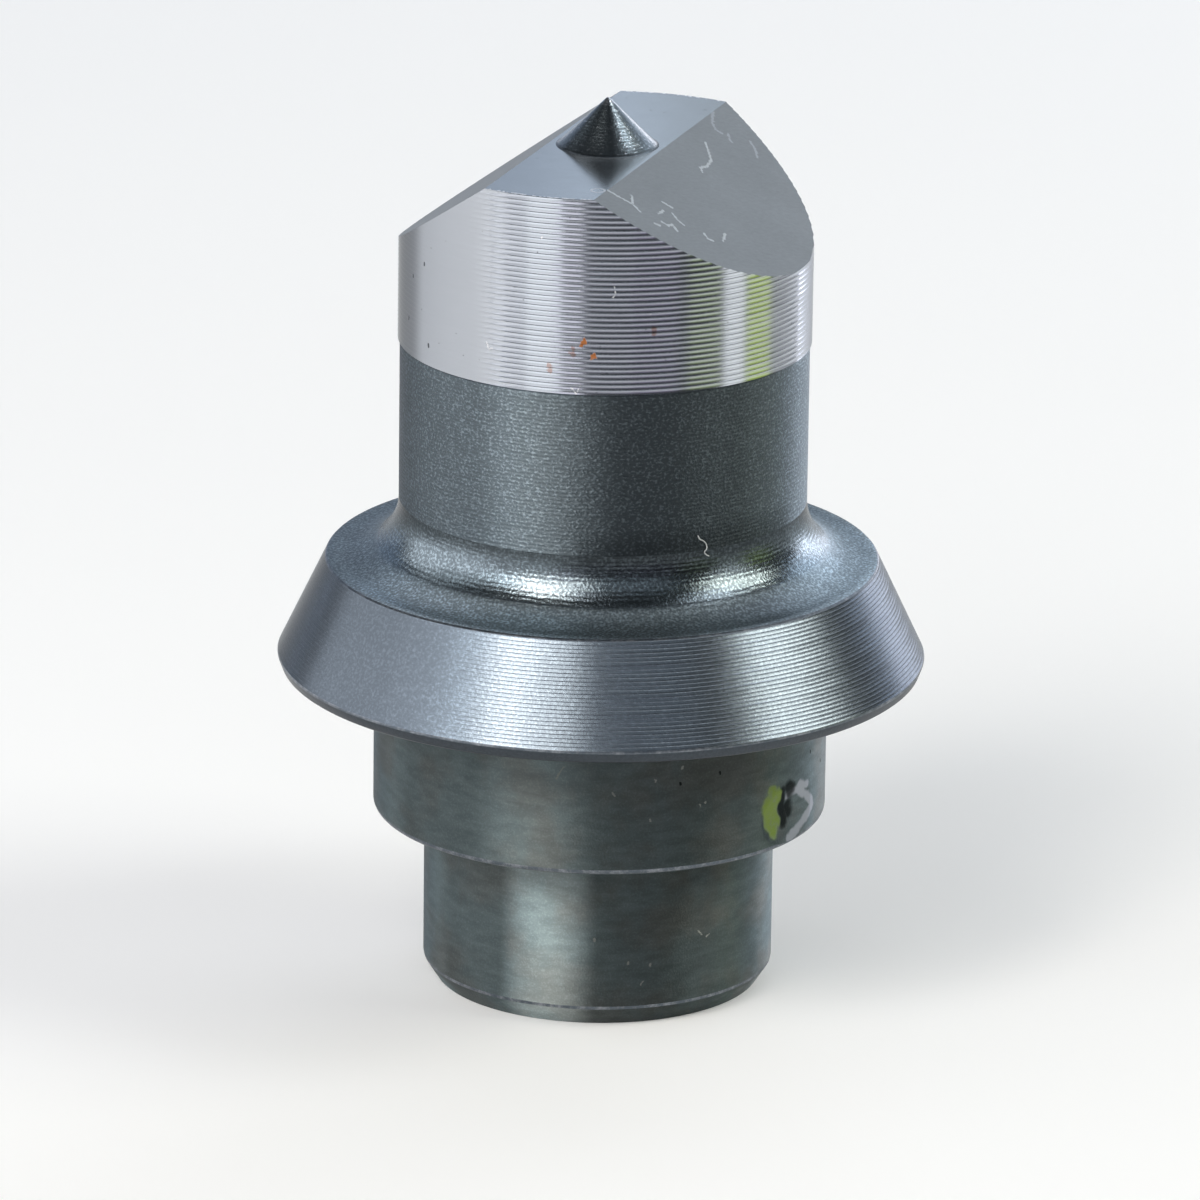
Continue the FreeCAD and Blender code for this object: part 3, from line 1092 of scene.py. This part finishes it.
# Soft boxes: azimuth to the right of the camera, width, lowest and highest elevation, radiance, colour
SOFT_BOXES = {
    "left": (-95, 62, 0, 30, 1.3, (0.98, 0.98, 1)),
    "left_front": (-54, 20, 0, 30, 0.68, (0.98, 0.98, 1)),
    "left_high": (-93, 60, 30, 44, 0.6, (0.94, 0.98, 1)),
    "left_front_high": (-56, 17, 28, 44, 3.0, (0.94, 0.98, 1)),
    "window_low": (-34, 20, 0, 14, 0.95, (0.97, 1, 1)),
    "window": (-36, 16, 14, 30, 1, (1, 1, 1)),
    "window_side": (-20, 16, 14, 30, 1, (0.95, 0.92, 1)),
    "window_side_high": (-19, 18, 30, 44, 3.7, (1, 0.97, 0.9)),
    "window_high": (-38, 20, 30, 58, 7.4, (1, 0.95, 0.88)),
    "window_top": (-19, 18, 44, 60, 1.1, (0.97, 0.95, 1)),
    "front_low": (2, 26, 4, 14, 0.25, (0.92, 0.88, 1)),
    "front_right_low": (27, 26, 4, 14, 0.18, (0.85, 0.7, 1)),
    "leaf_near": (56, 20, 0, 13, 0.24, (0.8, 1, 0.35)),
    "right": (75, 14, 0, 14, 0.75, (0.98, 1, 0.96)),
    "right_mid": (75, 16, 14, 30, 1.2, (1, 1, 1)),
    "right_high": (84, 40, 30, 44, 5.0, (1, 0.99, 0.86)),
    "right_top": (84, 26, 44, 60, 3.0, (0.96, 0.98, 1)),
    "leaf_far": (92, 18, 0, 13, 0.45, (0.75, 1, 0.05)),
    "right_back_low": (147, 34, 0, 14, 2.6, (0.95, 0.93, 1)),
    "right_back": (140, 34, 14, 30, 1.3, (0.78, 0.87, 1)),
    "back": (167, 26, 0, 30, 0.48, (0.76, 0.86, 1)),
    "back_left": (-157, 46, 0, 30, 0.5, (0.66, 0.78, 1)),
    "back_high": (155, 50, 30, 44, 1.1, (0.82, 0.9, 1)),
    "front_high": (14, 52, 24, 48, 0.32, (0.85, 0.93, 1)),
    "back_top": (180, 90, 44, 66, 0.6, (0.95, 0.95, 1)),
    "top": (180, 40, 76, 90, 0.5, (0.8, 0.9, 1)),
}
BOX_DISTANCE = 0.6

# Half the floor's width, and the whiteness it adds for the camera and for reflections alone
FLOOR_REACH = 4.0
FLOOR_LIFT = 0.13

# The world: pale at the horizon and dim above it, and the heights between which it changes
HORIZON_TONE = (0.75, 0.76, 0.78)
DIM_TONE = (0.06, 0.065, 0.07)
HORIZON_START, HORIZON_END = 0.05, 0.085


def towards(azimuth, elevation):
    """Direction from the punch, azimuth counted to the right from the camera."""
    turn = math.radians(CAMERA_AZIMUTH - 90 + azimuth)
    rise = math.radians(elevation)
    return Vector((math.cos(turn) * math.cos(rise), math.sin(turn) * math.cos(rise), math.sin(rise)))


def soft_box(scene, name, azimuth, width, low, high, radiance, colour):
    """Hangs a lamp that faces the punch; angles are in degrees."""
    middle = (low + high) / 2
    direction = towards(azimuth, middle)
    lamp = bpy.data.lights.new(name, "AREA")
    lamp.shape = "RECTANGLE"
    lamp.size = 2 * BOX_DISTANCE * math.tan(math.radians(width / 2)) * math.cos(math.radians(middle))
    lamp.size_y = 2 * BOX_DISTANCE * math.tan(math.radians((high - low) / 2))
    lamp.energy = 4 * lamp.size * lamp.size_y * radiance * scene.punch_stage.level
    lamp.color = colour
    box = bpy.data.objects.new(name, lamp)
    box.location = direction * BOX_DISTANCE
    box.rotation_euler = direction.to_track_quat("Z", "Y").to_euler()
    box.visible_camera = False
    scene.collection.objects.link(box)


def floor_material(colour):
    """Plain paint that looks a little whiter than it is lit."""
    finish = Finish("floor_paint")
    mottle = finish.grain(0.02, detail=3.0)
    tone = finish.blend(mottle, rgba(colour, 0.99), rgba(colour, 1.01))
    ray = finish.node("ShaderNodeLightPath").outputs
    seen = finish.add(ray["Is Camera Ray"], ray["Is Glossy Ray"], ray["Is Transmission Ray"])
    return finish.set(
        Base_Color=tone,
        Roughness=0.7,
        Specular_IOR_Level=0.2,
        Emission_Color=rgba((1, 1, 1)),
        Emission_Strength=finish.times(finish.math("MINIMUM", seen, 1.0), FLOOR_LIFT),
    )


class PUNCH_OT_stage(bpy.types.Operator):
    """Lay the floor, hang the soft boxes and set up the camera"""

    bl_idname = "punch.stage"
    bl_label = "Floor, Light and Camera"

    def execute(self, context):
        scene = context.scene
        self.lay_floor(context)
        for name, box in SOFT_BOXES.items():
            soft_box(scene, name, *box)
        self.paint_world(scene)
        self.place_camera(scene)
        scene.view_settings.view_transform = "Standard"
        return {"FINISHED"}

    def lay_floor(self, context):
        bm = bmesh.new()
        corners = ((-1, -1), (1, -1), (1, 1), (-1, 1))
        bm.faces.new([bm.verts.new((x * FLOOR_REACH, y * FLOOR_REACH, 0)) for x, y in corners])
        floor = add_piece(context, "floor", bm, [floor_material(context.scene.punch_stage.floor)])

    def paint_world(self, scene):
        world = bpy.data.worlds.new("dim_studio")
        scene.world = world
        world.use_nodes = True
        nodes = Nodes(world.node_tree)
        direction = nodes.node("ShaderNodeTexCoord").outputs["Generated"]
        height = nodes.node("ShaderNodeSeparateXYZ", Vector=direction).outputs["Z"]
        rise = nodes.ease(height, HORIZON_START, HORIZON_END)
        tone = nodes.blend(rise, rgba(HORIZON_TONE), rgba(DIM_TONE))
        nodes.link(nodes.tree.nodes["Background"].inputs["Color"], tone)

    def place_camera(self, scene):
        data = bpy.data.cameras.new("camera")
        data.lens = CAMERA_LENS
        data.clip_start, data.clip_end = CAMERA_CLIP
        camera = bpy.data.objects.new("camera", data)
        back = towards(0, CAMERA_ELEVATION)
        camera.location = CAMERA_AIM + back * CAMERA_DISTANCE
        turned = back.to_track_quat("Z", "Y").to_matrix() @ Matrix.Rotation(math.radians(CAMERA_ROLL), 3, "Z")
        camera.rotation_euler = turned.to_euler()
        scene.collection.objects.link(camera)
        scene.camera = camera


class PUNCH_PT_panel(bpy.types.Panel):
    """Lists the pieces of the punch and their settings"""

    bl_idname = "PUNCH_PT_panel"
    bl_label = "Piercing Punch"
    bl_space_type = "VIEW_3D"
    bl_region_type = "UI"
    bl_category = "Punch"

    def draw(self, context):
        layout = self.layout
        scene = context.scene
        for title, group, operator in (
            ("Shape", scene.punch_shape, None),
            ("Finish", scene.punch_finish, PUNCH_OT_body.bl_idname),
            ("Dirt", None, PUNCH_OT_lint.bl_idname),
            ("Stage", scene.punch_stage, PUNCH_OT_stage.bl_idname),
        ):
            box = layout.box()
            box.label(text=title)
            for name in group.__annotations__ if group else ():
                box.prop(group, name)
            if operator:
                box.operator(operator)


CLASSES = (PunchShape, PunchFinish, PunchStage, PUNCH_OT_body, PUNCH_OT_lint, PUNCH_OT_stage, PUNCH_PT_panel)


def register():
    for cls in CLASSES:
        bpy.utils.register_class(cls)
    bpy.types.Scene.punch_shape = PointerProperty(type=PunchShape)
    bpy.types.Scene.punch_finish = PointerProperty(type=PunchFinish)
    bpy.types.Scene.punch_stage = PointerProperty(type=PunchStage)


def unregister():
    del bpy.types.Scene.punch_stage
    del bpy.types.Scene.punch_finish
    del bpy.types.Scene.punch_shape
    for cls in reversed(CLASSES):
        bpy.utils.unregister_class(cls)


def main():
    register()
    bpy.ops.punch.body()
    bpy.ops.punch.lint()
    bpy.ops.punch.stage()


if __name__ == "__main__":
    main()
